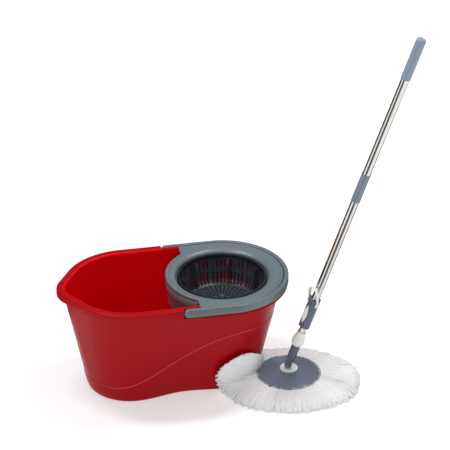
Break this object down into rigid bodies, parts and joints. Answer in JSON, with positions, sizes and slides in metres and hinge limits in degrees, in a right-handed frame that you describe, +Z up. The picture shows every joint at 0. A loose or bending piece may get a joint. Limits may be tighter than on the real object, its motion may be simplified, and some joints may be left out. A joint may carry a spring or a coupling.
{
  "type": "spin mop",
  "caption": "Oval wringer bucket with a lift-out spinning basket and bail handle, and a pump-handle spin mop with a round yarn head.",
  "frame": {"origin": "centre of the bucket's flat base", "axes": "+X towards the basket end, +Y towards the back, +Z up"},
  "size_m": [0.7834, 0.403, 0.9223],
  "materials": {
    "red_plastic": "satin moulded polypropylene",
    "grey_plastic": "satin moulded polypropylene",
    "basket_plastic": "satin moulded polypropylene",
    "steel": "polished tube",
    "zinc": "zinc-plated hardware",
    "white_plastic": "moulded nylon",
    "slate_plastic": "moulded polypropylene",
    "grip_plastic": "soft satin plastic",
    "rubber": "matt rubber",
    "badge": "blank glossy plate",
    "yarn": "looped microfibre yarn"
  },
  "bodies": {
    "bucket": {"bucket_shell": "red_plastic"},
    "carry_handle": {"carry_handle": "grey_plastic"},
    "wringer_tray": {"tray_cover": "grey_plastic", "basket_shroud": "grey_plastic", "shroud_screws": "zinc", "bearing_bracket": "basket_plastic", "bracket_screws": "zinc", "spindle": "steel", "thrust_washer": "zinc", "retaining_washer": "zinc", "retaining_screw": "zinc"},
    "spin_basket": {"basket": "basket_plastic", "basket_bush": "white_plastic", "hub_cap": "basket_plastic"},
    "mop_pad": {"yarn_pile": "yarn", "pad_ring": "white_plastic"},
    "mop_plate": {"mop_plate": "slate_plastic", "swivel_disc": "white_plastic", "disc_screws": "zinc"},
    "lower_handle": {"yoke": "slate_plastic", "yoke_pin": "steel", "tube_collar": "white_plastic", "collar_rivet": "steel", "lower_tube": "steel", "clutch_housing": "white_plastic", "drive_nut": "slate_plastic"},
    "slide_bush": {"guide_bush": "white_plastic"},
    "upper_handle": {"outer_tube": "steel", "lock_body": "slate_plastic", "badge_plate": "badge", "lever_pins": "steel", "brake_shoe": "rubber", "joint_sleeve": "slate_plastic", "joint_core": "white_plastic", "rod_anchor": "slate_plastic", "rod_pin": "steel", "twist_rod": "steel", "top_tube": "steel", "grip": "grip_plastic", "grip_cap": "grip_plastic"},
    "lock_lever": {"lock_lever": "white_plastic"}
  },
  "joints": [
    {"name": "carry_swing", "type": "hinge", "parent": "bucket", "child": "carry_handle", "pos_m": [0.01, 0, 0.252], "axis": [0, -1, 0], "range_deg": [0, 90]},
    {"name": "tray_lift", "type": "slide", "parent": "bucket", "child": "wringer_tray", "axis": [0, 0, 1], "range_m": [0, 0.15]},
    {"name": "basket_spin", "type": "hinge", "parent": "wringer_tray", "child": "spin_basket", "pos_m": [0.1155, 0, 0.182], "axis": [0, 0, 1], "continuous": true},
    {"name": "mop_carry", "type": "slide", "parent": "bucket", "child": "mop_pad", "axis": [0.6008, -0.3729, 0.7071], "range_m": [0, 0.35]},
    {"name": "plate_release", "type": "slide", "parent": "mop_pad", "child": "mop_plate", "axis": [0, 0, 1], "range_m": [0, 0.008]},
    {"name": "handle_tilt", "type": "hinge", "parent": "mop_plate", "child": "lower_handle", "pos_m": [0.255, -0.09, 0.054], "axis": [0.4664, 0.8846, 0], "range_deg": [-12, 62]},
    {"name": "pump_slide", "type": "slide", "parent": "lower_handle", "child": "slide_bush", "axis": [0.2748, -0.1449, 0.9505], "range_m": [0, 0.25]},
    {"name": "pump_turn", "type": "hinge", "parent": "slide_bush", "child": "upper_handle", "pos_m": [0.255, -0.09, 0.054], "axis": [0.2748, -0.1449, 0.9505], "continuous": true},
    {"name": "lever_flip", "type": "hinge", "parent": "upper_handle", "child": "lock_lever", "pos_m": [0.30291, -0.11793, 0.22947], "axis": [0.3754, -0.8939, -0.2448], "range_deg": [0, 110]}
  ],
  "couplings": [
    {"joint": "pump_turn", "follows": "pump_slide", "rad_per_m": 78.54}
  ]
}
